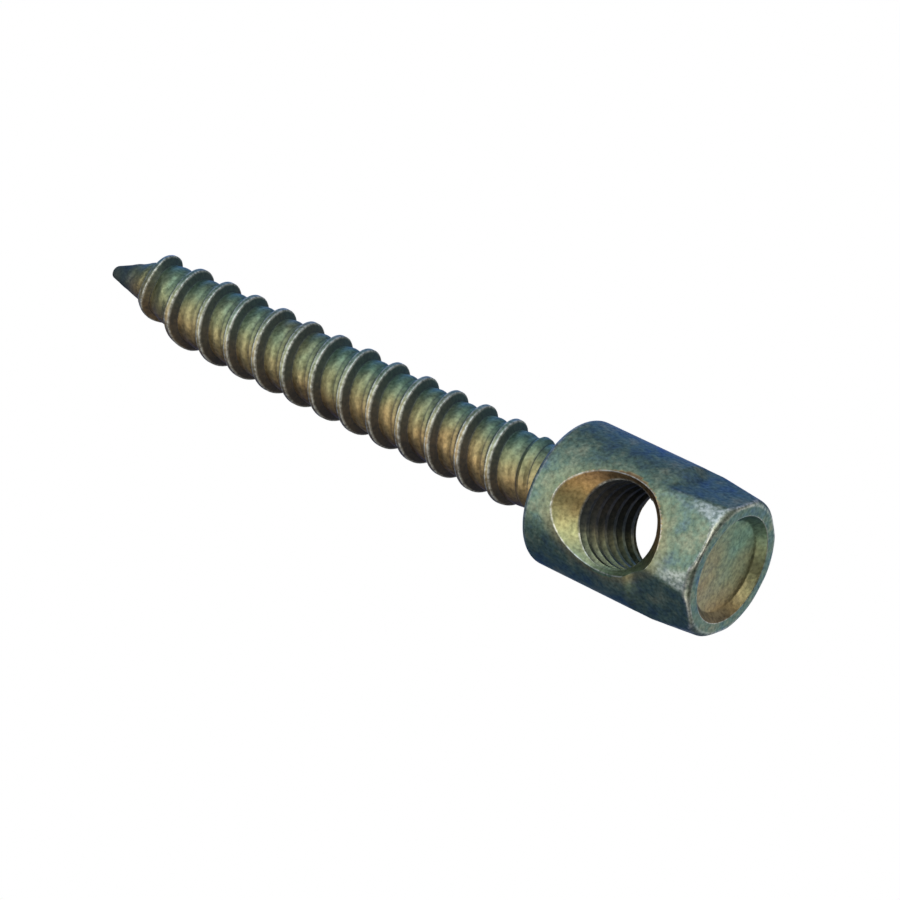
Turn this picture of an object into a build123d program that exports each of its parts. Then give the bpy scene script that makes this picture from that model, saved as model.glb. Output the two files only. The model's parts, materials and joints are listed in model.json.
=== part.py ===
from build123d import *

import math
import os

# Side-mount rod hanger screw, cold-formed in one piece.
# A wood screw carries a round barrel head. A tapped hole for a threaded rod crosses the barrel,
# and the free end of the barrel is a hexagon for the driver, with a dished end face.
# All lengths are in millimetres and all angles in degrees.

# Wood thread
shank_len = 57.9
thread_major_dia = 7.94
thread_root_dia = 6.4
thread_pitch = 3.63
thread_crest_flat = 0.35
thread_flank_angle = 30.0
thread_sink = 1.45
thread_phase_angle = -33.0
neck_round = 0.5

# Depth below the bottom of the thread at which a fading ridge is let go
fade_margin = 0.05

# Point
point_len = 7.3
point_tip_dia = 1.1
lead_in_start = 3.4
lead_in_len = 3.4

# Run-out of the thread below the head
run_out_gap = 1.3
run_out_len = 6.4

# Barrel head
head_dia = 14.3
head_len = 18.8
shoulder_round = 0.7

# Hexagon at the free end of the barrel
hex_sides = 6
hex_len = 6.9
flat_depth = 0.8
hex_run_out_len = 0.9
hex_turn_angle = 13.0
corner_taper_len = 5.1
corner_end_margin = 0.15
rim_round = 0.3

# Dish in the end face
rim_width = 1.15
dish_depth = 0.9
dish_wall_run = 0.8
dish_floor_round = 0.4

# Tapped hole for the rod, drawn at the inside of its thread, with a countersink at each mouth
rod_hole_dia = 8.0
rod_hole_from_shoulder = 9.0
countersink_depth = 2.1
countersink_angle = 90.0

# Every shape that cuts or joins passes the surface that it meets by this much
overrun = 1.0

# Edges closer than this to a named place are taken to be there
touch = 0.01

# Sizes that follow from the ones above
head_radius = head_dia / 2
flat_radius = head_radius - flat_depth
corner_end_radius = flat_radius + corner_end_margin
dish_mouth_radius = flat_radius - rim_width
dish_floor_radius = dish_mouth_radius - dish_wall_run
thread_radius = thread_major_dia / 2
root_radius = thread_root_dia / 2
tip_radius = point_tip_dia / 2
tip_z = -shank_len
point_base_z = tip_z + point_len
thread_height = thread_radius - root_radius
thread_start_z = tip_z + lead_in_start - thread_pitch
thread_base_radius = root_radius - thread_sink
thread_end_z = -run_out_gap + thread_sink
right_angle = 90.0
full_turn = 360.0


def turned(*outline):
    """Solid turned about the screw's axis from (radius, height) points."""
    return revolve(make_face(Polyline(*[(radius, 0, z) for radius, z in outline], close=True)), Axis.Z)


def make_core():
    """Plain shank with its conical point, as deep as the bottom of the thread."""
    return turned(
        (0, tip_z),
        (tip_radius, tip_z),
        (root_radius, point_base_z),
        (root_radius, overrun),
        (0, overrun),
    )


def thread_limit():
    """Solid that trims the thread: it rises at the point and falls back into the shank below the head."""
    rise_z = tip_z + lead_in_start
    low_radius = thread_base_radius - fade_margin
    sunk_radius = root_radius - fade_margin
    high_radius = thread_radius + overrun
    rise_share = (high_radius - low_radius) / (thread_radius - low_radius)
    fall_share = (high_radius - sunk_radius) / (thread_radius - sunk_radius)
    return turned(
        (0, rise_z),
        (low_radius, rise_z),
        (high_radius, rise_z + lead_in_len * rise_share),
        (high_radius, -run_out_gap - run_out_len * fall_share),
        (sunk_radius, -run_out_gap),
        (low_radius, thread_end_z),
        (0, thread_end_z),
    )


def make_thread():
    """Ridge wound along the shank, with a narrow flat crest and straight flanks, and a root sunk in the shank."""
    flank_foot = -fade_margin
    half_crest = thread_crest_flat / 2
    half_foot = half_crest + (thread_height - flank_foot) * math.tan(math.radians(thread_flank_angle))
    section = make_face(
        Polyline(
            (-thread_sink, -half_foot),
            (flank_foot, -half_foot),
            (thread_height, -half_crest),
            (thread_height, half_crest),
            (flank_foot, half_foot),
            (-thread_sink, half_foot),
            close=True,
        )
    )
    path_len = thread_end_z + thread_pitch / 2 - thread_start_z
    path = Helix(thread_pitch, path_len, root_radius, center=(0, 0, thread_start_z))
    start = path @ 0
    plane = Plane(origin=start, x_dir=(start.X, start.Y, 0), z_dir=path % 0)
    ridge = sweep(plane * section, path=path, is_frenet=True)
    return Rot(0, 0, thread_phase_angle) * ridge & thread_limit()


def make_barrel():
    """Round head with its shoulder rounded and the corners of its free end tapered."""
    barrel = turned(
        (0, 0),
        (head_radius, 0),
        (head_radius, head_len - corner_taper_len),
        (corner_end_radius, head_len),
        (0, head_len),
    )
    shoulder_edge = barrel.edges().filter_by(GeomType.CIRCLE).group_by(Axis.Z)[0]
    return fillet(shoulder_edge, shoulder_round)


def make_hex_limit():
    """Solid that leaves the barrel round below and six flats above, with a sloped run-out between."""
    hex_base_z = head_len - hex_len
    round_part = turned(
        (0, -overrun),
        (head_radius + overrun, -overrun),
        (head_radius + overrun, hex_base_z),
        (head_radius, hex_base_z),
        (flat_radius, hex_base_z + hex_run_out_len),
        (0, hex_base_z + hex_run_out_len),
    )
    hexagon = Rot(0, 0, hex_turn_angle) * RegularPolygon(flat_radius, side_count=hex_sides, major_radius=False)
    return round_part + Pos(0, 0, hex_base_z) * extrude(hexagon, hex_len + overrun)


def make_dish():
    """Shallow round dish in the end face."""
    dish = turned(
        (0, head_len - dish_depth),
        (dish_floor_radius, head_len - dish_depth),
        (dish_mouth_radius, head_len),
        (dish_mouth_radius, head_len + overrun),
        (0, head_len + overrun),
    )
    floor_edge = dish.edges().filter_by(GeomType.CIRCLE).group_by(Axis.Z)[0]
    return fillet(floor_edge, dish_floor_round)


def make_rod_hole():
    """Round hole across the barrel, opened out by a countersink on each side."""
    hole = Cylinder(rod_hole_dia / 2, head_dia + 2 * overrun)
    slope = math.tan(math.radians(countersink_angle / 2))
    sink_len = countersink_depth + overrun
    sink = Cone(rod_hole_dia / 2, rod_hole_dia / 2 + sink_len * slope, sink_len)
    sink_z = head_radius - countersink_depth + sink_len / 2
    for side in (0, full_turn / 2):
        hole += Rot(side, 0, 0) * Pos(0, 0, sink_z) * sink
    return Pos(0, 0, rod_hole_from_shoulder) * Rot(0, right_angle, 0) * hole


def is_neck(edge):
    """True for the circle where the shank meets the shoulder."""
    return abs(edge.radius - root_radius) < touch and abs(edge.center().Z) < touch


def make_screw():
    """Whole screw on its own axis: the shoulder at height zero, the point down, the rod hole along X."""
    head = make_barrel() & make_hex_limit()
    rim = head.faces().sort_by(Axis.Z)[-1].edges()
    head = fillet(rim, rim_round)
    screw = head + make_core()
    neck = screw.edges().filter_by(GeomType.CIRCLE).filter_by(is_neck)
    screw = fillet(neck, neck_round)
    screw -= make_dish()
    screw -= make_rod_hole()
    return screw + make_thread()


os.makedirs("parts", exist_ok=True)

# The screw stands on the rim of its hexagon, with its point up and its rod hole facing -Y
standing = Plane(origin=(0, 0, head_len), x_dir=(0, -1, 0), z_dir=(0, 0, -1))
export_step(standing.location * make_screw(), "parts/hanger_screw.step")
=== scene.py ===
# %% [markdown]
# A side-mount rod hanger screw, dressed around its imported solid.
# The screw is one piece of steel: a coarse wood thread with a blunt point, and a round barrel head
# that ends in a hexagon. A tapped hole for a threaded rod crosses the barrel.
# It stands on the rim of its hexagon, with the point up. Here it is modelled again, as one mesh, so
# that the thread, the hole and every edge have the roundness that catches the light.

import json
import math

import bmesh
import bpy
from mathutils import Matrix, Quaternion, Vector


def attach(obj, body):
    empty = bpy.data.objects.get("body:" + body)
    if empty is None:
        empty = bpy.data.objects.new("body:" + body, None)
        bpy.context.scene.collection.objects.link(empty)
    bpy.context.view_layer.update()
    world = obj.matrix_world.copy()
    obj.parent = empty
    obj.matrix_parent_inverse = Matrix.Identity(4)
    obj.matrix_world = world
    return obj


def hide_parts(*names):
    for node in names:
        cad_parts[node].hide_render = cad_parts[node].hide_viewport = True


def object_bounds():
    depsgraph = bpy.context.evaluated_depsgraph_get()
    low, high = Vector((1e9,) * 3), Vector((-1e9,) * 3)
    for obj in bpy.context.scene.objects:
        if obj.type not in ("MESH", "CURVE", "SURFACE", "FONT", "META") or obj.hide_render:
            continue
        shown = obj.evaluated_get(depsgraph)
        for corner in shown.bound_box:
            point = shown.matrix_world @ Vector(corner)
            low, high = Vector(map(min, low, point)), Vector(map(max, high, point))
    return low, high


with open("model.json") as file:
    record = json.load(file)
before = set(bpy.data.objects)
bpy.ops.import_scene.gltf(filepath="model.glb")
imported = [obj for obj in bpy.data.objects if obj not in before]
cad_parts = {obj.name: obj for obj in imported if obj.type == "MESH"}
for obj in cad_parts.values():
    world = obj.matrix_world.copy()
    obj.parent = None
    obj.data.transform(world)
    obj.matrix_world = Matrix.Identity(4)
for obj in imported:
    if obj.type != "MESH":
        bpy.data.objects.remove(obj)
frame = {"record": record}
cad_low, cad_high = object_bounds()
MM = 0.001
print("solid from", tuple(cad_low), "to", tuple(cad_high))

# %% [markdown]
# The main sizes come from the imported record, so the mesh can't drift from the solid. They could be typed
# in again, but then a change to the solid would be missed here. All drawing is done in millimetres, and
# the finished mesh is scaled to metres once, at the end.

# %% Read the sizes that the record gives
mounts = {mount["name"]: mount for mount in frame["record"]["mounts"]}
hole_radius = mounts["rod_hole"]["dims"]["r_mm"]
hole_wall = mounts["rod_hole"]["dims"]["length_mm"]
hole_z = mounts["rod_hole"]["pos_m"][2] / MM
shoulder_z = mounts["wood_thread"]["pos_m"][2] / MM
crest_radius = mounts["wood_thread"]["dims"]["r_mm"]
hex_len = mounts["hex_drive"]["dims"]["length_mm"]
tip_z = (cad_high.z - cad_low.z) / MM
head_radius = (cad_high.x - cad_low.x) / MM / 2
print("shoulder at", round(shoulder_z, 3), "tip at", round(tip_z, 3), "head radius", round(head_radius, 3))

# %% [markdown]
# The camera comes first, because every later choice is judged through it. The view was fitted to the
# outline of the screw: a long lens that looks up at the end face from below, turned so that the shank
# runs to the left. A Track To constraint could aim it, but a tracking quaternion and one roll keep it plain.

# %% Aim the camera
camera_azimuth = math.radians(9.23)
camera_elevation = math.radians(-32.35)
camera_roll = math.radians(64.08)
camera_distance = 400.26
camera_aim = Vector((-1.385, -0.225, 32.367))
lens_mm = 171.77


def bearing_vector(azimuth, elevation):
    """Unit vector from the screw towards a bearing: azimuth 0 is -Y, and +X is at 90 degrees."""
    level = math.cos(elevation)
    return Vector((level * math.sin(azimuth), -level * math.cos(azimuth), math.sin(elevation)))


to_camera = bearing_vector(camera_azimuth, camera_elevation)
roll = Quaternion((0, 0, 1), -camera_roll)
camera_data = bpy.data.cameras.new("photo_camera")
camera_data.lens = lens_mm
camera = bpy.data.objects.new("photo_camera", camera_data)
bpy.context.collection.objects.link(camera)
camera.location = (camera_aim + camera_distance * to_camera) * MM
camera.rotation_mode = "QUATERNION"
camera.rotation_quaternion = (-to_camera).to_track_quat("-Z", "Y") @ roll
bpy.context.scene.camera = camera
print("camera at", tuple(round(value, 4) for value in camera.location))

# %% [markdown]
# A turned form, such as the head or one pitch of the thread, starts as an outline of a few points beside
# the axis. Its roundings could be drawn point by point, but a bevel on one corner of the wire makes the arc
# in a single step. The bevel eats the same length from both neighbours, so a fillet of a given radius needs
# that radius times the tangent of half the turn.

# %% Draw an outline and round its corners
def draw_outline(bm, points):
    """Adds a wire through (radius, height) points in the XZ plane and returns its vertices."""
    verts = [bm.verts.new((radius, 0, z)) for radius, z in points]
    for first, second in zip(verts, verts[1:]):
        bm.edges.new((first, second))
    return verts


def round_corner(bm, corner, radius, segments):
    """Replaces one corner of a wire by an arc of the given radius."""
    before, after = (edge.other_vert(corner).co - corner.co for edge in corner.link_edges)
    turn = math.pi - before.angle(after)
    bmesh.ops.bevel(
        bm, geom=[corner], offset=radius * math.tan(turn / 2), offset_type="OFFSET", segments=segments,
        profile=0.5, affect="VERTICES", material=-1,
    )


print("a right angle rounded at 1 mm loses", round(math.tan(math.pi / 4), 2), "mm of each side")

# %% [markdown]
# The wood thread is rolled between dies, not cut. Its ridge has a narrow flat crest with soft edges, and
# the land between two turns carries a low rounded rib where the metal was pushed up. A plain triangle would
# look like a cut thread, so all of one pitch is drawn. It is then divided finely, because its vertices are
# moved later on.

# %% Draw one pitch of the wood thread
pitch = 3.63
root_radius = 3.2
crest_flat = 0.48
flank_angle = math.radians(30)
crest_round = 0.11
root_round = 0.14
section_segments = 3
section_gap = 0.2

# The rib's places are measured back from the next crest
rib_start = 0.8
rib_peak = 1.85
rib_end = 2.35
rib_height = 0.2
rib_round = 1.2
rib_foot_round = 0.5

# Height over the shoulder at which a crest passes +X, turns wound below that, and where the strip begins
crest_at_x = 0.625
turns_below = 3
section_start = -0.72

ridge_height = crest_radius - root_radius
half_crest = crest_flat / 2
half_foot = half_crest + ridge_height * math.tan(flank_angle)
strip_z = shoulder_z + crest_at_x - turns_below * pitch

thread = bmesh.new()
section = draw_outline(thread, [
    (root_radius, strip_z + section_start),
    (root_radius, strip_z - half_foot),
    (crest_radius, strip_z - half_crest),
    (crest_radius, strip_z + half_crest),
    (root_radius, strip_z + half_foot),
    (root_radius, strip_z + pitch - rib_end),
    (root_radius + rib_height, strip_z + pitch - rib_peak),
    (root_radius, strip_z + pitch - rib_start),
    (root_radius, strip_z + pitch + section_start),
])
roundings = (root_round, crest_round, crest_round, root_round, rib_foot_round, rib_round, rib_foot_round)
for corner, radius in zip(section[1:-1], roundings):
    round_corner(thread, corner, radius, section_segments)
for edge in thread.edges[:]:
    bmesh.ops.subdivide_edges(thread, edges=[edge], cuts=math.floor(edge.calc_length() / section_gap))
print("one pitch has", len(thread.verts), "points, and its ridge is", round(ridge_height, 2), "mm high")

# %% [markdown]
# A thread is that pitch wound up the axis, by a spin that also climbs. A Screw modifier would do it too, but
# the spin leaves plain vertices that can be faded by hand. One turn is wound and then copied, because a spin
# of many turns gets slow.

# %% Wind the section into a thread
weld_gap = 1e-4
steps_per_turn = 96
spare_turns = 2


def wind(bm, pitch, turns, steps):
    """Winds the wire in the bmesh into a right-hand thread of whole turns, welded into one skin."""
    bmesh.ops.spin(
        bm, geom=bm.verts[:] + bm.edges[:], cent=(0, 0, 0), axis=(0, 0, 1), angle=2 * math.pi,
        dvec=(0, 0, pitch / steps), steps=steps,
    )
    first_turn = bm.verts[:] + bm.edges[:] + bm.faces[:]
    for turn in range(1, turns):
        copied = bmesh.ops.duplicate(bm, geom=first_turn)["geom"]
        copied_verts = [item for item in copied if isinstance(item, bmesh.types.BMVert)]
        bmesh.ops.translate(bm, verts=copied_verts, vec=(0, 0, turn * pitch))
    bmesh.ops.remove_doubles(bm, verts=bm.verts[:], dist=weld_gap)
    print("wound", turns, "turns with", len(bm.faces), "faces")


thread_turns = math.ceil((tip_z - shoulder_z) / pitch) + turns_below + spare_turns
wind(thread, pitch, thread_turns, steps_per_turn)

# %% [markdown]
# The point was pinched at a slant: its cone is longer on one side, and its nose is blunt and rounded. A cone
# from the Add menu would be straight, so the radius of the bare shank is a rule of height and angle instead.

# %% Shape the shank and its point
point_len = 8.9
point_slant = 2.9
long_side = math.radians(190)
tip_radius = 0.55
tip_round = 0.9


def core_radius(z, angle):
    """Radius of the bare shank: straight, then a skewed cone, then a blunt rounded tip."""
    from_tip = max(tip_z - z, 0)
    cone_len = point_len + point_slant * math.cos(angle - long_side)
    cone = tip_radius + (root_radius - tip_radius) * from_tip / cone_len
    if from_tip < tip_round:
        cone = min(cone, math.sqrt(tip_round ** 2 - (tip_round - from_tip) ** 2))
    return min(cone, root_radius)


print("cone of the point is", point_len - point_slant, "to", round(point_len + point_slant, 1), "mm long")

# %% [markdown]
# The real thread rises out of the cone of the point and sinks back into the shank below the head. Cutting it
# off would leave a step. Both ends follow one rule for the radius instead: the core's radius at that height,
# plus the ridge's height times a fade from 0 to 1. On the long side of the point the thread leans to the tip
# and starts later.

# %% Fade the thread at both ends
thread_lean = 2.4
lean_from = 15.0
lean_full = 6.5
thread_draw = 0.4
draw_from = 9.5
lead_in_start = 3.8
lead_in_len = 2.0
lead_in_slant = 0.6
faint_share = 0.1
run_out_gap = 1.3
run_out_len = 6.4
neck_len = 1.0
neck_z = shoulder_z + neck_len


def ramp(value, start, end):
    """Goes from 0 at start to 1 at end, with a soft beginning and end."""
    share = min(max((value - start) / (end - start), 0), 1)
    return share * share * (3 - 2 * share)


def lean(z, angle):
    """How far the thread is drawn towards the tip, most on the long side of the point."""
    side_share = (1 + math.cos(angle - long_side)) / 2
    drawn = thread_draw * ramp(tip_z - z, draw_from, lean_full)
    return drawn + thread_lean * ramp(tip_z - z, lean_from, lean_full) * side_share ** 2


def thread_share(z, angle):
    """How much of the ridge's height is left at a height and an angle on the screw."""
    from_tip = tip_z - z
    slanted = from_tip - lead_in_slant * math.cos(angle - long_side)
    first = ramp(slanted, lead_in_start, lead_in_start + lead_in_len)
    faint = faint_share * ramp(from_tip, tip_radius, lead_in_start)
    last = ramp(z, shoulder_z + run_out_gap, shoulder_z + run_out_gap + run_out_len)
    return max(first, faint) * last


for vert in thread.verts:
    radius = vert.co.xy.length
    angle = math.atan2(vert.co.y, vert.co.x)
    z = min(max(vert.co.z + lean(vert.co.z, angle), neck_z), tip_z)
    ridge = (radius - root_radius) * thread_share(z, angle)
    vert.co.xy *= (core_radius(z, angle) + ridge) / radius
    vert.co.z = z
bmesh.ops.remove_doubles(thread, verts=thread.verts[:], dist=weld_gap)
bmesh.ops.dissolve_degenerate(thread, dist=weld_gap, edges=thread.edges[:])
print("thread faded, open edges at the neck and the tip:", sum(edge.is_boundary for edge in thread.edges))

# %% [markdown]
# The head is a round barrel with a rounded shoulder, and its free end has a shallow round dish. Cylinders
# joined by booleans would give it too, but one outline spun round the axis, as on a lathe, rounds every edge
# at once. The sides get many rows, so that the hexagon can be pressed into them in the next step.

# %% Turn the barrel head
neck_round = 0.5
shoulder_round = 0.7
corner_taper_len = 5.1
flat_depth = 0.8
corner_end_margin = 0.29
rim_corner_round = 0.7
rim_width = 1.15
dish_depth = 0.9
dish_wall_run = 0.8
dish_floor_round = 0.4
mouth_round = 0.12
row_gap = 0.25
longest_row = 1.0
head_steps = 2 * steps_per_turn

flat_radius = head_radius - flat_depth
corner_end_radius = flat_radius + corner_end_margin
dish_mouth_radius = flat_radius - rim_width
dish_floor_radius = dish_mouth_radius - dish_wall_run


def turn_about_axis(bm, steps):
    """Spins everything in the bmesh once round the Z axis and closes the seam."""
    bmesh.ops.spin(
        bm, geom=bm.verts[:] + bm.edges[:], cent=(0, 0, 0), axis=(0, 0, 1), angle=2 * math.pi,
        steps=steps, use_merge=True,
    )
    bmesh.ops.remove_doubles(bm, verts=bm.verts[:], dist=weld_gap)


head = bmesh.new()
outline = draw_outline(head, [
    (root_radius, neck_z),
    (root_radius, shoulder_z),
    (head_radius, shoulder_z),
    (head_radius, corner_taper_len),
    (corner_end_radius, 0),
    (dish_mouth_radius, 0),
    (dish_floor_radius, dish_depth),
    (0, dish_depth),
])
neck_foot, shoulder = outline[1:3]
rim_edge, dish_mouth, dish_foot = outline[4:7]
round_corner(head, neck_foot, neck_round, segments=6)
round_corner(head, shoulder, shoulder_round, segments=8)
round_corner(head, rim_edge, rim_corner_round, segments=7)
round_corner(head, dish_mouth, mouth_round, segments=3)
round_corner(head, dish_foot, dish_floor_round, segments=5)
for edge in head.edges[:]:
    if min(vert.co.x for vert in edge.verts) > flat_radius and edge.calc_length() > longest_row:
        bmesh.ops.subdivide_edges(head, edges=[edge], cuts=round(edge.calc_length() / row_gap))
turn_about_axis(head, head_steps)
print("head turned with", len(head.faces), "faces")

# %% [markdown]
# The hexagon at the free end takes the driver. Cutting with six planes is crisper, but a forged hexagon has
# soft edges and a sloped run-out. Those come from blending two radii at each vertex: the barrel's own, and
# the one that the hexagon leaves at that angle and height.

# %% Press the hexagon into the free end
hex_sides = 6
hex_turn = math.radians(13)
hex_run_out_len = 1.5
rim_round = 0.3
forge_blend = 0.12
run_out_blend = 0.3
side_turn = 2 * math.pi / hex_sides


def soft_min(first, second, width):
    """The smaller of two lengths, rounded where they cross."""
    overlap = max(width - abs(first - second), 0) / width
    return min(first, second) - overlap * overlap * width / 4


def hex_limit(angle, z):
    """Radius that the hexagon leaves at an angle and height, with its run-out and its rounded rim."""
    from_flat = (angle - hex_turn) % side_turn - side_turn / 2
    flat = flat_radius / math.cos(from_flat)
    run_out = flat_radius + (z - hex_len + hex_run_out_len) * flat_depth / hex_run_out_len
    limit = -soft_min(-flat, -run_out, run_out_blend)
    into_rim = max(rim_round - z, 0)
    return limit - rim_round + math.sqrt(rim_round ** 2 - into_rim ** 2)


for vert in head.verts:
    radius = vert.co.xy.length
    if radius > dish_mouth_radius and vert.co.z < hex_len + forge_blend:
        limit = hex_limit(math.atan2(vert.co.y, vert.co.x), max(vert.co.z, 0))
        vert.co.xy *= soft_min(radius, limit, forge_blend) / radius
print("hexagon pressed in, flats", round(2 * flat_radius, 2), "mm apart")

# %% [markdown]
# On the real screw, shank and head are one piece of steel. Two meshes that only overlap would show a seam, so
# they are welded into one closed skin. The head's neck has twice as many columns as the thread, so each edge
# of the thread's last ring gets one cut first. Its faces are split as well, or the boolean would open slits.

# %% Weld the thread to the head
neck_weld_gap = 0.01
ends = {"neck": [], "tip": []}
for edge in thread.edges:
    if edge.is_boundary:
        ends["neck" if edge.verts[0].co.z < (neck_z + tip_z) / 2 else "tip"].append(edge)
bmesh.ops.edgeloop_fill(thread, edges=ends["tip"])
bmesh.ops.subdivide_edges(thread, edges=ends["neck"], cuts=1, use_single_edge=True)
for vert in thread.verts:
    if abs(vert.co.z - neck_z) < weld_gap:
        vert.co.xy *= root_radius / vert.co.xy.length

thread_mesh = bpy.data.meshes.new("thread")
thread.to_mesh(thread_mesh)
thread.free()
head.from_mesh(thread_mesh)
bpy.data.meshes.remove(thread_mesh)
bmesh.ops.remove_doubles(head, verts=head.verts[:], dist=neck_weld_gap)
bmesh.ops.recalc_face_normals(head, faces=head.faces[:])
print("open edges after the weld:", sum(edge.is_boundary for edge in head.edges))

screw_mesh = bpy.data.meshes.new("hanger_screw_skin")
head.to_mesh(screw_mesh)
print("whole skin", round(head.calc_volume(), 1), "cubic mm,", len(head.faces), "faces")
head.free()
screw = bpy.data.objects.new("hanger_screw_skin", screw_mesh)
bpy.context.collection.objects.link(screw)

# %% [markdown]
# The cross hole is drilled and countersunk on both sides. Pushing vertices in by hand would leave ragged
# mouths, so a cutter is made instead: a bobbin with the hole's own radius and a cone at each end. The cones
# are divided into rows, so that their faces stay small.

# %% Make the bobbin that drills and countersinks
cut_overrun = 1.0
cutter_steps = 128
sink_slope = math.tan(math.radians(45))
sink_rows = 16
half_wall = hole_wall / 2
mouth_z = head_radius + cut_overrun
mouth_radius = hole_radius + (mouth_z - half_wall) * sink_slope


def add_cutter(name, bm):
    """Lays a cutter drawn about Z along the hole, as an object."""
    bmesh.ops.recalc_face_normals(bm, faces=bm.faces[:])
    along_hole = Matrix.Translation((0, 0, hole_z)) @ Matrix.Rotation(math.pi / 2, 4, "X")
    bmesh.ops.transform(bm, matrix=along_hole, verts=bm.verts[:])
    mesh = bpy.data.meshes.new(name)
    bm.to_mesh(mesh)
    bm.free()
    cutter = bpy.data.objects.new(name, mesh)
    bpy.context.collection.objects.link(cutter)
    return cutter


def is_cone(edge):
    """True for an edge of the bobbin's outline that slopes."""
    step_out = abs(edge.verts[0].co.x - edge.verts[1].co.x)
    return weld_gap < step_out < hole_radius


bobbin = bmesh.new()
draw_outline(bobbin, [
    (0, -mouth_z),
    (mouth_radius, -mouth_z),
    (hole_radius, -half_wall),
    (hole_radius, half_wall),
    (mouth_radius, mouth_z),
    (0, mouth_z),
])
bmesh.ops.subdivide_edges(bobbin, edges=[edge for edge in bobbin.edges if is_cone(edge)], cuts=sink_rows)
turn_about_axis(bobbin, cutter_steps)
bobbin_cutter = add_cutter("bobbin", bobbin)
print("bobbin is", round(2 * mouth_radius, 2), "mm wide at its ends")

# %% [markdown]
# The wall of the hole is tapped for the rod. A bump pattern would fake it, but the turns show as teeth at the
# edge of the bore, so they are real: a tap whose ridges leave the rod's thread in the wall. It is wound as
# the wood thread was, with as many columns as the bobbin, so that the two cuts share their columns.

# %% Make the tap
rod_pitch = 1.5875
rod_major_radius = 4.7625
rod_flat = 0.2
tap_clear = 0.08
tap_reach = 0.25
tap_spare_turns = 2

valley_radius = hole_radius - tap_clear
rod_half_flat = rod_flat / 2
rod_half_foot = rod_half_flat + (rod_major_radius - valley_radius) * math.tan(flank_angle)
tap_turns = math.ceil(2 * mouth_z / rod_pitch) + tap_spare_turns
tap_start = -tap_turns * rod_pitch / 2

tap = bmesh.new()
draw_outline(tap, [
    (valley_radius, tap_start - rod_pitch / 2),
    (valley_radius, tap_start - rod_half_foot),
    (rod_major_radius, tap_start - rod_half_flat),
    (rod_major_radius, tap_start + rod_half_flat),
    (valley_radius, tap_start + rod_half_foot),
    (valley_radius, tap_start + rod_pitch / 2),
])
wind(tap, rod_pitch, tap_turns, cutter_steps)
tap_end = half_wall + tap_reach
for vert in tap.verts:
    vert.co.z = min(max(vert.co.z, -tap_end), tap_end)
    if abs(vert.co.z) > tap_end - weld_gap:
        vert.co.xy *= valley_radius / vert.co.xy.length
bmesh.ops.remove_doubles(tap, verts=tap.verts[:], dist=weld_gap)
bmesh.ops.dissolve_degenerate(tap, dist=weld_gap, edges=tap.edges[:])
bmesh.ops.holes_fill(tap, edges=[edge for edge in tap.edges if edge.is_boundary])
tap_cutter = add_cutter("tap", tap)
print("tap reaches", rod_major_radius, "mm from the hole's axis")

# %% [markdown]
# Drill and tap take metal away, and so does a Boolean modifier set to Difference. Bmesh has no such operator
# of its own. The exact solver is slower than the fast one, but it copes with walls that nearly touch. The cut
# mesh is taken from the evaluated object, so no modifier stays live, and the cutters are removed.

# %% Cut the hole
cutters = (bobbin_cutter, tap_cutter)
for cutter in cutters:
    cut = screw.modifiers.new(cutter.name, "BOOLEAN")
    cut.operation = "DIFFERENCE"
    cut.solver = "EXACT"
    cut.object = cutter
depsgraph = bpy.context.evaluated_depsgraph_get()
cut_mesh = bpy.data.meshes.new_from_object(screw.evaluated_get(depsgraph))
screw.modifiers.clear()
screw.data = cut_mesh
bpy.data.meshes.remove(screw_mesh)
for cutter in cutters:
    cutter_mesh = cutter.data
    bpy.data.objects.remove(cutter)
    bpy.data.meshes.remove(cutter_mesh)
print("hole cut, mesh now has", len(cut_mesh.polygons), "faces")

# %% [markdown]
# The finish of the real screw differs from place to place, so the material has to know where it is. Weights
# could be painted by hand, but rules follow the sizes. Each vertex gets five numbers: how far it is worn,
# which also paints highlights on its edges, how much shade is painted on it, how thick the chromate is, how
# far its colour shifts with its side, which on the shank is painted light, and how far it is from the edge of
# a countersink. A boolean leaves slivers, faces with many corners and fins of two faces back to back, so the
# mesh is cleaned first.

# %% Clean the cut mesh and give it five layers
most_corners = 4
skin = bmesh.new()
skin.from_mesh(screw.data)
skin.normal_update()
bmesh.ops.remove_doubles(skin, verts=skin.verts[:], dist=weld_gap)
bmesh.ops.dissolve_degenerate(skin, dist=weld_gap, edges=skin.edges[:])
bmesh.ops.triangulate(skin, faces=[face for face in skin.faces if len(face.verts) > most_corners])
same_corners = {}
for face in skin.faces:
    same_corners.setdefault(frozenset(face.verts), []).append(face)
fins = [face for faces in same_corners.values() if len(faces) > 1 for face in faces]
bmesh.ops.delete(skin, geom=fins, context="FACES")
wear, corner, film, drain, mouth_gap = (
    skin.verts.layers.float.new(name) for name in ("wear", "corner", "film", "drain", "mouth_gap")
)
open_edges = sum(edge.is_boundary for edge in skin.edges)
print("volume", round(skin.calc_volume(), 1), "cubic mm, open edges", open_edges, "fins removed", len(fins))

# %% [markdown]
# The places of the screw are told apart by their coordinates, here the tapped bore and the hole with its two
# countersinks. The cutters' faces could be marked before the cut, but coordinates need nothing to be carried
# through the boolean.

# %% Tell the places of the screw apart
touch = 0.02
mouth_reach = 1.0


def from_hole_axis(co):
    """Distance from the axis of the rod hole."""
    return math.hypot(co.x, co.z - hole_z)


def beyond_sink(co):
    """Distance outside the countersink's cone."""
    return from_hole_axis(co) - hole_radius - max(abs(co.y) - half_wall, 0) * sink_slope


def in_bore(co):
    """True on the tapped wall."""
    return from_hole_axis(co) < rod_major_radius + touch and co.z < shoulder_z


def in_hole(co):
    """True on the tapped wall and on both countersinks."""
    return co.z < shoulder_z - neck_round and (beyond_sink(co) < touch or in_bore(co))


def mouth_distance(co):
    """Distance from the outer edge of a countersink, over its cone or over the barrel, within a reach."""
    if co.z >= shoulder_z or abs(co.y) <= half_wall:
        return mouth_reach
    return min(max(beyond_sink(co), 0) + max(head_radius - co.xy.length, 0), mouth_reach)


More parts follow.
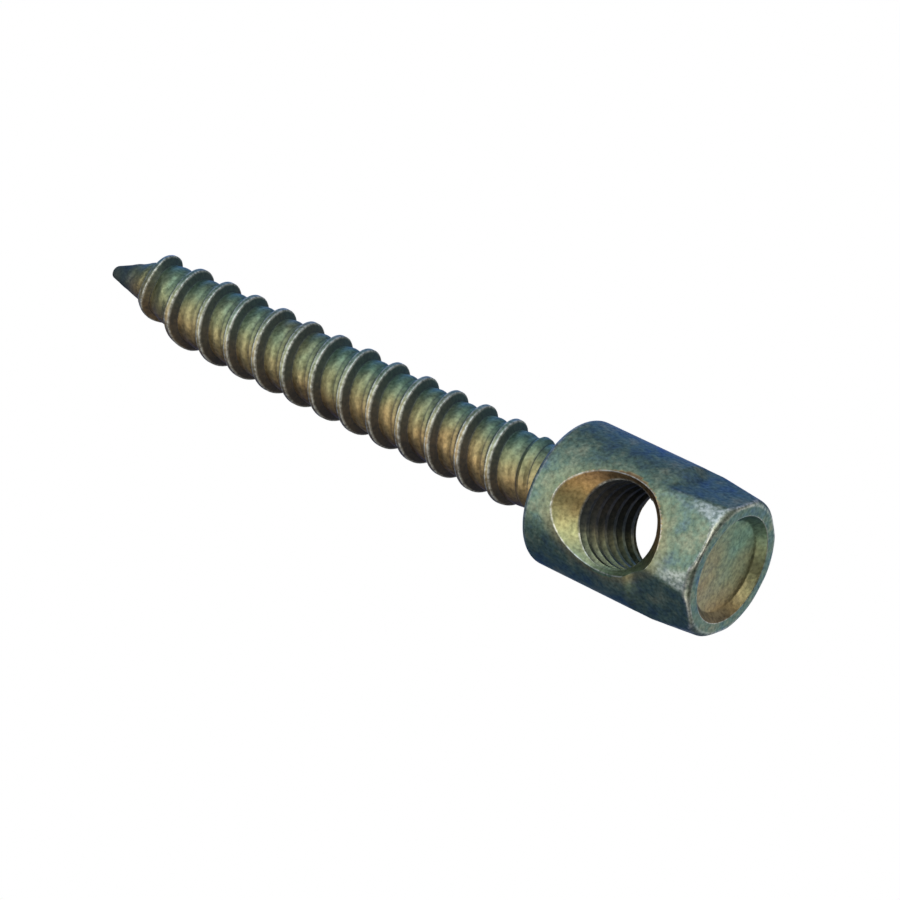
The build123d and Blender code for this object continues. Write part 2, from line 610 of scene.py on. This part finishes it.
for vert in skin.verts:
    vert[mouth_gap] = mouth_distance(vert.co)
print(sum(in_hole(vert.co) for vert in skin.verts), "vertices lie in the hole")

# %% [markdown]
# Plating wears first on outer edges: on the crests of the thread, and on the tapered corners of the hexagon,
# where the driver rubs. The pale marks there are also a painted highlight, the light that these edges catch.
# Pointiness in the Geometry node shows edges too, but it changes with how finely a mesh is divided. So the
# bend is summed over the edges at a vertex and divided by the area around it. On a plain cylinder that is one
# over the radius, so it is small on the barrel and large on a crest.

# %% Measure the worn edges and their painted highlights
wear_from = 0.7
wear_full = 2.5
tip_wear_from = 2.0
tip_wear_full = 3.6
crest_from = 0.35
crest_full = 0.65
bore_wear = 0.25
rub_wear_and_highlight = 0.8
rub_from = 4.2
rub_full = 2.0
rub_depth_from = 0.03
rub_depth_full = 0.25


def mean(layer):
    """Mean of one of the five numbers over all vertices."""
    return round(sum(vert[layer] for vert in skin.verts) / len(skin.verts), 3)


def bulge(vert):
    """Sum of the two curvatures at a vertex, in 1/mm: above zero on outer edges, below zero in corners."""
    bend = sum(edge.calc_length() * edge.calc_face_angle_signed(0) for edge in vert.link_edges)
    area = sum(face.calc_area() / len(face.verts) for face in vert.link_faces)
    return bend / (2 * area) if area else 0


def rub(co):
    """1 on the tapered corners of the hexagon, where the driver rubs and where a highlight is painted."""
    if co.z < rim_round or co.z > rub_from or co.xy.length < flat_radius:
        return 0
    cut_away = hex_limit(math.atan2(co.y, co.x), co.z) - co.xy.length
    return ramp(cut_away, rub_depth_from, rub_depth_full) * ramp(co.z, rub_from, rub_full)


def edge_wear_and_highlight(co, bend):
    """Share of worn zinc and painted edge highlight: less on the foot of the ridge, at the very tip, in the
    bore and next to a countersink.
    """
    share = ramp(bend, wear_from, wear_full) * ramp(tip_z - co.z, tip_wear_from, tip_wear_full)
    share = max(share, rub_wear_and_highlight * rub(co))
    if co.z > shoulder_z:
        over_core = co.xy.length - core_radius(co.z, math.atan2(co.y, co.x))
        return share * ramp(over_core, crest_from, crest_full)
    if abs(co.y) > half_wall:
        return share * ramp(mouth_distance(co), 0, mouth_reach)
    return share * bore_wear if in_bore(co) else share


bends = {vert: bulge(vert) for vert in skin.verts}
for vert, bend in bends.items():
    vert[wear] = edge_wear_and_highlight(vert.co, bend)
print("mean wear", mean(wear))

# %% [markdown]
# The chromate is a dip. It stayed thick in the thread and in the hole and thinner in the dish, and it spilled
# a little over the edges of the countersinks. Its colour also shifts with the side: around the shank it turns
# towards gold on the -X side and towards green on the +X side, which is painted light, the change that light
# gives across the film. In the dish and the hole it shifts along X as well. A noise pattern alone would
# scatter the gold all over, so a share of film and a shift towards gold are set by place.

# %% Lay the chromate thick and thin
film_neck = 0.6
film_dish = 0.75
film_tip = 0.1
film_tip_from = 1.5
film_tip_to = 5.0
film_spill = 0.45
spill_width = 2.0
shank_painted_side_light = -0.38
dish_side_shift = -0.4
dish_shift_offset = -0.12
hole_side_shift = 0.5
hole_shift_offset = 0.1


def in_dish(co):
    """True on the floor and the wall of the dish."""
    return co.xy.length < dish_mouth_radius and co.z < dish_depth + touch


def film_depth(co):
    """1 where the dip lies thick, in the thread and the hole. Less in the dish, on the tip and elsewhere."""
    if co.z > shoulder_z - neck_round:
        bare_tip = (1 - film_tip) * ramp(tip_z - co.z, film_tip_to, film_tip_from)
        return ramp(co.z, shoulder_z, shoulder_z + film_neck) - bare_tip
    if in_dish(co):
        return film_dish
    return 1 if in_hole(co) else film_spill * ramp(beyond_sink(co), spill_width, 0)


def side_shift_at(co):
    """Shift of the film's colour, towards gold where it is above zero."""
    if in_dish(co):
        return dish_shift_offset + dish_side_shift * co.x / dish_mouth_radius
    if in_hole(co):
        return hole_shift_offset + hole_side_shift * co.x / rod_major_radius
    # Around the shank the shift is painted light: gold on the -X side, green on the +X side.
    return shank_painted_side_light * co.x / max(co.xy.length, touch)


for vert in skin.verts:
    vert[film] = film_depth(vert.co)
    vert[drain] = side_shift_at(vert.co)
print("mean film", mean(film), "and mean drain", mean(drain))

# %% [markdown]
# Shade is painted into the recesses: at the foot of the ridge, under the flanks that face the head, on the
# point and on the tapped wall, least on its -X side, where light falls in through the mouth. An Ambient
# Occlusion node would find some of these, but it can't tell the lit side of the wall from the dark one. So
# they are set by rule, and the corners are blurred over their neighbours.

# %% Paint shade into the corners, under the flanks, on the point and in the bore
crease_shade_from = 0.4
crease_shade_full = 2.0
crease_shade_most = 0.85
shade_blur_passes = 3
under_flank_shade = 0.8
under_shade_from = 0.4
under_shade_full = 0.8
tip_shade = 0.75
bore_shade = 0.88
lit_side_shade = 0.05
groove_shade = 0.9
lit_side_from = -0.25
lit_side_full = -0.75


def bore_shade_share(co):
    """Painted shade on the tapped wall: most in the grooves, and little on the -X side, where light falls in.
    """
    groove = ramp(from_hole_axis(co), hole_radius, hole_radius + rod_flat)
    lit_side = ramp(co.x / hole_radius, lit_side_from, lit_side_full)
    return max(bore_shade + (lit_side_shade - bore_shade) * lit_side, groove_shade * groove)


# Painted shade: in the creases, under the flanks that face the head, on the point and on the bore's wall.
for vert, bend in bends.items():
    vert[corner] = 0
    if vert.co.z > shoulder_z:
        under_shade = under_flank_shade * ramp(-vert.normal.z, under_shade_from, under_shade_full)
        vert[corner] = max(crease_shade_most * ramp(-bend, crease_shade_from, crease_shade_full), under_shade)
for step in range(shade_blur_passes):
    blurred = {}
    for vert in skin.verts:
        around = [edge.other_vert(vert)[corner] for edge in vert.link_edges]
        blurred[vert] = (vert[corner] + sum(around) / len(around)) / 2
    for vert, value in blurred.items():
        vert[corner] = value
for vert in skin.verts:
    vert[corner] = max(vert[corner], tip_shade * ramp(tip_z - vert.co.z, film_tip_to, film_tip_from))
    if in_bore(vert.co) and abs(vert.co.y) < half_wall + touch:
        vert[corner] = max(vert[corner], bore_shade_share(vert.co))
print("mean dullness", mean(corner))

# %% [markdown]
# A forged and rolled piece is smooth, with only a few true edges. Flat shading would show every face, so all
# faces are shaded smooth and only edges past an angle stay sharp. The mesh is then scaled to metres, the
# frame's unit.

# %% Finish the mesh in metres
sharp_angle = math.radians(38)
for face in skin.faces:
    face.smooth = True
for edge in skin.edges:
    edge.smooth = len(edge.link_faces) == 2 and edge.calc_face_angle() < sharp_angle
bmesh.ops.scale(skin, vec=(MM, MM, MM), verts=skin.verts[:])
print("finished mesh has", sum(len(face.verts) - 2 for face in skin.faces), "triangles")
skin.to_mesh(screw.data)
skin.free()

# %% [markdown]
# The finish is zinc plate under a chromate dip. The film is thin enough to show interference colour, so the
# same dip reads slate on the head, sage where it is a little thicker and gold to brown in the thread and the
# hole. Such colours could be worked out from the film's thickness, but they are hard to match that way, so
# they are written on two ramps. Each is an sRGB hex value that one function turns to linear.

# %% Set out the colours and the one function that adds a node
def srgb(code):
    """Turns a colour such as 8a9a7c into linear red, green, blue and alpha."""
    linear = []
    for start in (0, 2, 4):
        value = int(code[start:start + 2], 16) / 255
        linear.append(value / 12.92 if value <= 0.04045 else ((value + 0.055) / 1.055) ** 2.4)
    return linear + [1.0]


def add_node(tree, kind, inputs=(), **settings):
    """Adds a node, sets its properties, and fills or links its inputs from (socket, value) pairs."""
    node = tree.nodes.new(kind)
    for name, value in settings.items():
        setattr(node, name, value)
    for socket, value in inputs:
        if isinstance(value, bpy.types.NodeSocket):
            tree.links.new(value, node.inputs[socket])
        else:
            node.inputs[socket].default_value = value
    return node


def set_ramp(node, stops):
    """Gives a colour ramp its (position, colour) stops."""
    elements = node.color_ramp.elements
    while len(elements) < len(stops):
        elements.new(0.5)
    for element, (position, code) in zip(elements, stops):
        element.position = position
        element.color = srgb(code)


head_stops = ((0.32, "5f757c"), (0.5, "738874"), (0.66, "9aa084"))
film_stops = ((0.1, "7e9a7c"), (0.4, "98986e"), (0.7, "b69a68"), (0.95, "8e7452"))
# Pale worn zinc, also used for the painted highlights on the edges.
worn_and_highlight_colour = srgb("dadcd2")
# The slate colour of the painted shade.
painted_shade_colour = srgb("38424a")
print("worn zinc is", [round(value, 3) for value in worn_and_highlight_colour])

# %% [markdown]
# Three patterns run through the metal, each at its own size: clouds in the film, wider clouds in the shift of
# its colour, and the fine crystals of the plate. They could be images, but noise on Object coordinates needs
# no unwrapping and has no seams. The crystals are drawn coarser than the real ones, so that they show.

# %% Lay the patterns of the zinc
cloud_mm = 2.4
cloud_detail = 5.0
cloud_roughness = 0.68
shift_cloud_mm = 6.0
shift_cloud_detail = 3.0
speckle_mm = 0.35
speckle_detail = 2.0

zinc = bpy.data.materials.new("passivated_zinc")
zinc.use_nodes = True
tree = zinc.node_tree
shader = tree.nodes["Principled BSDF"]
place = add_node(tree, "ShaderNodeTexCoord").outputs["Object"]
cloud = add_node(tree, "ShaderNodeTexNoise", [
    ("Vector", place), ("Scale", 1 / (cloud_mm * MM)),
    ("Detail", cloud_detail), ("Roughness", cloud_roughness),
]).outputs["Fac"]
shift_cloud = add_node(tree, "ShaderNodeTexNoise", [
    ("Vector", place), ("Scale", 1 / (shift_cloud_mm * MM)), ("Detail", shift_cloud_detail),
]).outputs["Fac"]
speckle = add_node(tree, "ShaderNodeTexNoise", [
    ("Vector", place), ("Scale", 1 / (speckle_mm * MM)), ("Detail", speckle_detail),
]).outputs["Fac"]
print("crystals repeat every", speckle_mm, "mm and clouds every", cloud_mm, "mm")

# %% [markdown]
# The colour is built in layers: first the dip, then the grain of the plate that shows through it, then
# painted shade in the corners, and worn edges with a painted highlight last. One painted image could hold all
# of it, but layers mixed by the mesh's own numbers can be changed one at a time. Worn zinc is pale and broken
# up by the crystals.

# %% Colour the zinc
noise_low = 0.3
noise_high = 0.7
grain_dark = 0.66
grain_pale = 1.3
broken_low = 0.38
broken_high = 0.62
worn_least = 0.25
worn_most = 0.9
line_full = 0.03
line_end = 0.13

film_here, side_shift_here, worn_and_highlight_here, painted_shade_here, mouth_here = (
    add_node(tree, "ShaderNodeAttribute", attribute_name=name).outputs["Fac"]
    for name in ("film", "drain", "wear", "corner", "mouth_gap")
)
film_shift = add_node(tree, "ShaderNodeMath", [(0, side_shift_here), (1, shift_cloud)], operation="ADD")
head_colour = add_node(tree, "ShaderNodeValToRGB", [("Fac", cloud)])
set_ramp(head_colour, head_stops)
film_colour = add_node(tree, "ShaderNodeValToRGB", [("Fac", film_shift.outputs[0])])
set_ramp(film_colour, film_stops)
dipped = add_node(tree, "ShaderNodeMix", [
    ("Factor", film_here), (6, head_colour.outputs["Color"]), (7, film_colour.outputs["Color"]),
], data_type="RGBA")
grain = add_node(tree, "ShaderNodeMapRange", [
    ("Value", speckle), ("From Min", noise_low), ("From Max", noise_high),
    ("To Min", grain_dark), ("To Max", grain_pale),
])
speckled = add_node(tree, "ShaderNodeMix", [
    ("Factor", 1.0), (6, dipped.outputs[2]), (7, grain.outputs[0]),
], data_type="RGBA", blend_type="MULTIPLY")
# Painted shade: a slate colour mixed in as far as the corner layer goes.
with_painted_shade = add_node(tree, "ShaderNodeMix", [
    ("Factor", painted_shade_here), (6, speckled.outputs[2]), (7, painted_shade_colour),
], data_type="RGBA")
broken = add_node(tree, "ShaderNodeMapRange", [
    ("Value", speckle), ("From Min", broken_low), ("From Max", broken_high),
    ("To Min", worn_least), ("To Max", worn_most),
])
# A pale line painted round the outer edge of each countersink: worn zinc and a painted highlight.
mouth_highlight_line = add_node(tree, "ShaderNodeMapRange", [
    ("Value", mouth_here), ("From Min", line_full), ("From Max", line_end), ("To Min", 1.0), ("To Max", 0.0),
])
bare = add_node(tree, "ShaderNodeMath", [(0, worn_and_highlight_here), (1, mouth_highlight_line.outputs[0])], operation="MAXIMUM")
worn = add_node(tree, "ShaderNodeMath", [(0, bare.outputs[0]), (1, broken.outputs[0])], operation="MULTIPLY")
finish = add_node(tree, "ShaderNodeMix", [
    ("Factor", worn.outputs[0]), (6, with_painted_shade.outputs[2]), (7, worn_and_highlight_colour),
], data_type="RGBA")
tree.links.new(finish.outputs[2], shader.inputs["Base Color"])
print("colour is mixed from", len(head_stops) + len(film_stops), "film colours, oil and worn zinc")

# %% [markdown]
# Zinc plate is a metal with a satin face: highlights are wide and soft, a little broken by the crystals, and
# it is rougher still where shade is painted. At a slant the film turns the gloss blue, and Specular Tint
# gives that. The dies left fine lines round the screw, so one bump pattern is stretched across the axis. As
# shapes, these lines would need millions of faces. They too are drawn coarser than they are, so that they
# show.

# %% Set the gloss and the fine bumps
slant_tint = srgb("9cb4ee")
satin_least = 0.36
satin_most = 0.5
shade_roughness = 0.35
rolled_mm = 0.12
rolled_detail = 1.0
rolled_stretch = (0.15, 0.15, 1.0)
rolled_strength = 0.25
rolled_depth_mm = 0.02
speckle_strength = 0.35
speckle_depth_mm = 0.05

satin = add_node(tree, "ShaderNodeMapRange", [
    ("Value", cloud), ("From Min", noise_low), ("From Max", noise_high),
    ("To Min", satin_least), ("To Max", satin_most),
])
dulled = add_node(tree, "ShaderNodeMath", [
    (0, painted_shade_here), (1, shade_roughness), (2, satin.outputs[0]),
], operation="MULTIPLY_ADD")
tree.links.new(dulled.outputs[0], shader.inputs["Roughness"])
shader.inputs["Metallic"].default_value = 1.0
shader.inputs["Specular Tint"].default_value = slant_tint

rolled_place = add_node(tree, "ShaderNodeMapping", [("Vector", place), ("Scale", rolled_stretch)])
rolled = add_node(tree, "ShaderNodeTexNoise", [
    ("Vector", rolled_place.outputs[0]), ("Scale", 1 / (rolled_mm * MM)), ("Detail", rolled_detail),
]).outputs["Fac"]
rolled_bump = add_node(tree, "ShaderNodeBump", [
    ("Height", rolled), ("Strength", rolled_strength), ("Distance", rolled_depth_mm * MM),
])
speckle_bump = add_node(tree, "ShaderNodeBump", [
    ("Height", speckle), ("Strength", speckle_strength), ("Distance", speckle_depth_mm * MM),
    ("Normal", rolled_bump.outputs[0]),
])
tree.links.new(speckle_bump.outputs[0], shader.inputs["Normal"])
screw.data.materials.clear()
screw.data.materials.append(zinc)
print("material", zinc.name, "has", len(tree.nodes), "nodes")

# %% [markdown]
# The real screw is one rigid piece. Its skin could be parented to the frame by hand, but two calls say it:
# the skin rides on the frame's one body, and the imported solid that it stands in for is hidden.

# %% Put the skin in the frame
NODE = "hanger_screw"
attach(screw, "root")
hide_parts(NODE)
print("skin replaces", NODE)

# %% [markdown]
# The stage is a sheet of matte paper under the standing screw. Paper has no gloss, so it gives the eye only
# a pale ground and a soft shadow. The main camera looks up from below, where a plain plane would hide the
# screw, so the floor is one-way: only camera rays from above meet it. It glows a little, to stay pale from
# every side, and it lies a hair below the rim, because two faces in one plane flicker.

# %% Lay the floor
floor_size = 4.0
floor_gap = 0.02
paper_colour = srgb("e9e8e4")
paper_roughness = 0.9
paper_glow = 0.4

floor_bm = bmesh.new()
bmesh.ops.create_grid(floor_bm, x_segments=1, y_segments=1, size=floor_size / 2)
bmesh.ops.translate(floor_bm, verts=floor_bm.verts[:], vec=(0, 0, -floor_gap * MM))
floor_mesh = bpy.data.meshes.new("floor")
floor_bm.to_mesh(floor_mesh)
floor_bm.free()
floor = bpy.data.objects.new("floor", floor_mesh)
bpy.context.collection.objects.link(floor)
floor.visible_diffuse = False
floor.visible_glossy = False
floor.visible_transmission = False
floor.visible_shadow = False

paper = bpy.data.materials.new("matte_paper")
paper.use_nodes = True
tree = paper.node_tree
paper_shader = tree.nodes["Principled BSDF"]
paper_shader.inputs["Base Color"].default_value = paper_colour
paper_shader.inputs["Roughness"].default_value = paper_roughness
paper_shader.inputs["Emission Color"].default_value = paper_colour
paper_shader.inputs["Emission Strength"].default_value = paper_glow
from_below = add_node(tree, "ShaderNodeNewGeometry").outputs["Backfacing"]
clear = add_node(tree, "ShaderNodeBsdfTransparent")
one_way = add_node(tree, "ShaderNodeMixShader", [
    (0, from_below), (1, paper_shader.outputs[0]), (2, clear.outputs[0]),
])
tree.links.new(one_way.outputs[0], tree.nodes["Material Output"].inputs["Surface"])
floor_mesh.materials.append(paper)
print("floor", floor_size, "m wide")

# %% [markdown]
# Metal shows what stands around it. Point lamps would leave it dark with a few sparks, so the lamps are
# large soft boxes in a dim room. A lamp's power is its glow times pi times its area, so a white box with a
# glow of 1 is seen as plain white. The boxes are set round the screw, and the brightest stands low, where the
# end face looks.

# %% Hang the soft boxes
def add_soft_box(name, azimuth, elevation, distance, width, height, glow, tint):
    """Hangs an area lamp at a bearing seen from the screw and turns it to face it."""
    data = bpy.data.lights.new(name, "AREA")
    data.shape = "RECTANGLE"
    data.size = width
    data.size_y = height
    data.energy = glow * math.pi * width * height
    data.color = srgb(tint)[:3]
    lamp = bpy.data.objects.new(name, data)
    bpy.context.collection.objects.link(lamp)
    towards = bearing_vector(math.radians(azimuth), math.radians(elevation))
    lamp.location = towards * distance + Vector((0, 0, tip_z * MM / 2))
    lamp.rotation_mode = "QUATERNION"
    lamp.rotation_quaternion = (-towards).to_track_quat("-Z", "Y")
    print(name, "gives", round(data.energy, 2), "W")


# Name, azimuth and elevation in degrees, distance, width and height in metres, glow, tint
soft_boxes = (
    ("key_box", -2, 28, 0.8, 1.5, 0.62, 1.3, "ffffff"),
    ("side_box", 64, -3, 0.8, 0.75, 0.75, 1.4, "e2ecff"),
    ("low_box", 40, -45, 0.8, 0.7, 0.45, 2.4, "fff8ee"),
    ("left_box", -68, -34, 0.8, 0.5, 0.5, 1.3, "fff4e6"),
    ("back_box", 182, -28, 0.9, 0.9, 0.65, 1.0, "eeece8"),
    ("rim_box", 122, -12, 0.8, 0.45, 0.45, 0.5, "b8ccff"),
    ("top_box", 150, 46, 1.2, 1.3, 1.2, 0.6, "bcceff"),
)
for row in soft_boxes:
    add_soft_box(*row)

# %% [markdown]
# Between the boxes the metal shows the room: dark below, grey at the middle and cooler above. A white sheet
# stands behind the screw, as the main camera sees it. A picture of a room would be richer, but a ramp over
# the height and one round patch are plain and easy to change. The Standard view transform shows colours as
# they are written.

# %% Set the dim room and the white sheet behind the screw
sheet_reach = math.radians(14)
sheet_colour = srgb("ffffff")
wall_stops = ((0.02, "30302e"), (0.12, "7c7a76"), (0.32, "7a7d80"), (0.46, "5c6472"), (1.0, "687890"))
world = bpy.data.worlds.new("dim_room")
world.use_nodes = True
bpy.context.scene.world = world
tree = world.node_tree
room = tree.nodes["Background"]
gaze = add_node(tree, "ShaderNodeTexCoord").outputs["Generated"]
facing = add_node(tree, "ShaderNodeVectorMath", [(0, gaze), (1, -to_camera)], operation="DOT_PRODUCT")
sheet = add_node(tree, "ShaderNodeMath", [
    (0, facing.outputs["Value"]), (1, math.cos(sheet_reach)),
], operation="GREATER_THAN")
height = add_node(tree, "ShaderNodeSeparateXYZ", [(0, gaze)]).outputs["Z"]
lift = add_node(tree, "ShaderNodeMapRange", [("Value", height), ("From Min", -1.0), ("From Max", 1.0)])
walls = add_node(tree, "ShaderNodeValToRGB", [("Fac", lift.outputs[0])])
set_ramp(walls, wall_stops)
room_colour = add_node(tree, "ShaderNodeMix", [
    ("Factor", sheet.outputs[0]), (6, walls.outputs["Color"]), (7, sheet_colour),
], data_type="RGBA")
tree.links.new(room_colour.outputs[2], room.inputs["Color"])
bpy.context.scene.view_settings.view_transform = "Standard"
print("white sheet reaches", round(math.degrees(sheet_reach)), "degrees about the view")
